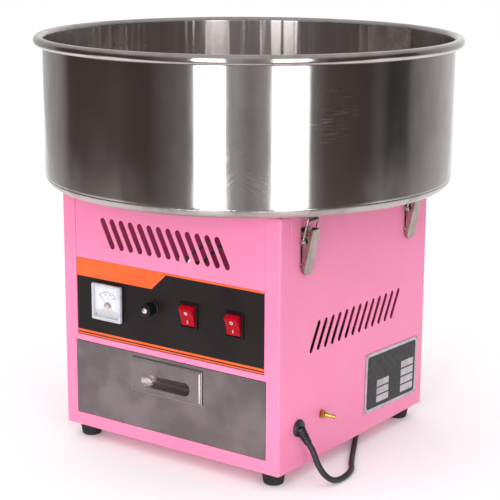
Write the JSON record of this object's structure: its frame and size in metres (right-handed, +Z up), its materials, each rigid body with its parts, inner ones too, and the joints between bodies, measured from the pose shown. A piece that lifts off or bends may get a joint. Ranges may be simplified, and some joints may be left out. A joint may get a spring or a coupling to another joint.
{
  "type": "candyfloss machine",
  "caption": "Table-top electric candyfloss machine: a wide rimmed steel bowl clamped on a pink sheet-metal cabinet with meter, switches, drawer and spinner head.",
  "frame": {"origin": "on the floor plane under the centre of the bowl, which is the bottom centre of the bounding box without the mains lead", "axes": "+Z up; -Y towards the control panel and drawer; +X towards the side with the mains lead, earth terminal and rating plate"},
  "size_m": [0.5196, 0.5196, 0.5009],
  "materials": {
    "pink_paint": "gloss",
    "bowl_steel": "polished",
    "drawer_steel": "brushed",
    "latch_steel": "bright plated",
    "zinc_steel": "zinc plated",
    "black_plastic": "matte",
    "black_rubber": "matte",
    "black_film": "satin",
    "red_plastic": "gloss",
    "white_card": "matte",
    "clear_plastic": "clear",
    "brass": "bright",
    "copper": "turned",
    "cast_aluminium": "machined",
    "motor_paint": "satin",
    "needle_paint": "painted"
  },
  "bodies": {
    "cabinet": {"front_frame": "pink_paint", "side_panel_left": "pink_paint", "side_panel_right": "pink_paint", "front_panel": "pink_paint", "back_panel": "pink_paint", "base_pan": "pink_paint", "top_deck": "pink_paint", "bowl": "bowl_steel", "rating_plate": "latch_steel", "latch_base_front_right": "latch_steel", "latch_base_front_left": "latch_steel", "latch_base_back_right": "latch_steel", "latch_base_back_left": "latch_steel", "runner_left": "zinc_steel", "runner_right": "zinc_steel", "voltmeter_case": "black_plastic", "fuse_holder": "black_plastic", "switch_bezel_heat": "black_plastic", "switch_bezel_power": "black_plastic", "cable_gland": "black_plastic", "brush_block": "black_plastic", "bowl_seal": "black_rubber", "drive_belt": "black_rubber", "power_cord": "black_rubber", "cord_coil": "black_rubber", "plug": "black_rubber", "wiring_loom": "black_rubber", "foot_front_right": "black_rubber", "foot_front_left": "black_rubber", "foot_back_right": "black_rubber", "foot_back_left": "black_rubber", "control_label": "black_film", "voltmeter_dial": "white_card", "voltmeter_cover": "clear_plastic", "earth_stud": "brass", "bearing_housing": "cast_aluminium", "motor": "motor_paint"},
    "head": {"spindle": "cast_aluminium", "slip_rings": "copper", "spinner_cup": "cast_aluminium", "spinner_band": "cast_aluminium", "spinner_lid": "cast_aluminium"},
    "rotor": {"motor_pulley": "cast_aluminium"},
    "drawer": {"drawer_tray": "zinc_steel", "drawer_back": "zinc_steel", "drawer_front": "drawer_steel", "drawer_pull": "drawer_steel"},
    "needle": {"voltmeter_needle": "needle_paint"},
    "fuse_cap": {"fuse_cap": "black_plastic"},
    "rocker_heat": {"rocker_heat": "red_plastic"},
    "rocker_power": {"rocker_power": "red_plastic"},
    "earth_nut": {"earth_nut": "brass"},
    "lever_front_right": {"latch_lever_front_right": "latch_steel"},
    "bail_front_right": {"latch_bail_front_right": "latch_steel"},
    "lever_front_left": {"latch_lever_front_left": "latch_steel"},
    "bail_front_left": {"latch_bail_front_left": "latch_steel"},
    "lever_back_right": {"latch_lever_back_right": "latch_steel"},
    "bail_back_right": {"latch_bail_back_right": "latch_steel"},
    "lever_back_left": {"latch_lever_back_left": "latch_steel"},
    "bail_back_left": {"latch_bail_back_left": "latch_steel"}
  },
  "joints": [
    {"name": "spinner_turn", "type": "hinge", "parent": "cabinet", "child": "head", "pos_m": [0, 0, 0.18], "axis": [0, 0, 1], "continuous": true},
    {"name": "motor_turn", "type": "hinge", "parent": "cabinet", "child": "rotor", "pos_m": [0, 0.092, 0.18], "axis": [0, 0, 1], "continuous": true},
    {"name": "drawer_slide", "type": "slide", "parent": "cabinet", "child": "drawer", "axis": [0, -1, 0], "range_m": [0, 0.2]},
    {"name": "needle_turn", "type": "hinge", "parent": "cabinet", "child": "needle", "pos_m": [-0.0892, -0.1663, 0.18], "axis": [0, 1, 0], "range_deg": [0, 90], "stiffness_Nm_per_rad": 0.00005},
    {"name": "fuse_cap_turn", "type": "hinge", "parent": "cabinet", "child": "fuse_cap", "pos_m": [-0.021, -0.172, 0.188], "axis": [0, -1, 0], "range_deg": [0, 90]},
    {"name": "heat_rocker_tilt", "type": "hinge", "parent": "cabinet", "child": "rocker_heat", "pos_m": [0.0334, -0.1616, 0.1885], "axis": [-1, 0, 0], "range_deg": [0, 34]},
    {"name": "power_rocker_tilt", "type": "hinge", "parent": "cabinet", "child": "rocker_power", "pos_m": [0.0989, -0.1616, 0.1885], "axis": [-1, 0, 0], "range_deg": [0, 34]},
    {"name": "earth_nut_turn", "type": "hinge", "parent": "cabinet", "child": "earth_nut", "pos_m": [0.1655, -0.0755, 0.07], "axis": [1, 0, 0], "range_deg": [0, 360]},
    {"name": "lever_front_right_lift", "type": "hinge", "parent": "cabinet", "child": "lever_front_right", "pos_m": [0.1725, -0.116, 0.297], "axis": [0, -1, 0], "range_deg": [0, 110]},
    {"name": "bail_front_right_swing", "type": "hinge", "parent": "lever_front_right", "child": "bail_front_right", "pos_m": [0.1665, -0.116, 0.287], "axis": [0, -1, 0], "range_deg": [-149, 0]},
    {"name": "lever_front_left_lift", "type": "hinge", "parent": "cabinet", "child": "lever_front_left", "pos_m": [-0.1725, -0.116, 0.297], "axis": [0, 1, 0], "range_deg": [0, 110]},
    {"name": "bail_front_left_swing", "type": "hinge", "parent": "lever_front_left", "child": "bail_front_left", "pos_m": [-0.1665, -0.116, 0.287], "axis": [0, 1, 0], "range_deg": [-149, 0]},
    {"name": "lever_back_right_lift", "type": "hinge", "parent": "cabinet", "child": "lever_back_right", "pos_m": [0.1725, 0.116, 0.297], "axis": [0, -1, 0], "range_deg": [0, 110]},
    {"name": "bail_back_right_swing", "type": "hinge", "parent": "lever_back_right", "child": "bail_back_right", "pos_m": [0.1665, 0.116, 0.287], "axis": [0, -1, 0], "range_deg": [-149, 0]},
    {"name": "lever_back_left_lift", "type": "hinge", "parent": "cabinet", "child": "lever_back_left", "pos_m": [-0.1725, 0.116, 0.297], "axis": [0, 1, 0], "range_deg": [0, 110]},
    {"name": "bail_back_left_swing", "type": "hinge", "parent": "lever_back_left", "child": "bail_back_left", "pos_m": [-0.1665, 0.116, 0.287], "axis": [0, 1, 0], "range_deg": [-149, 0]}
  ],
  "couplings": [
    {"joint": "motor_turn", "follows": "spinner_turn", "ratio": 0.84615},
    {"joint": "bail_front_right_swing", "follows": "lever_front_right_lift", "ratio": -1.35},
    {"joint": "bail_front_left_swing", "follows": "lever_front_left_lift", "ratio": -1.35},
    {"joint": "bail_back_right_swing", "follows": "lever_back_right_lift", "ratio": -1.35},
    {"joint": "bail_back_left_swing", "follows": "lever_back_left_lift", "ratio": -1.35}
  ]
}
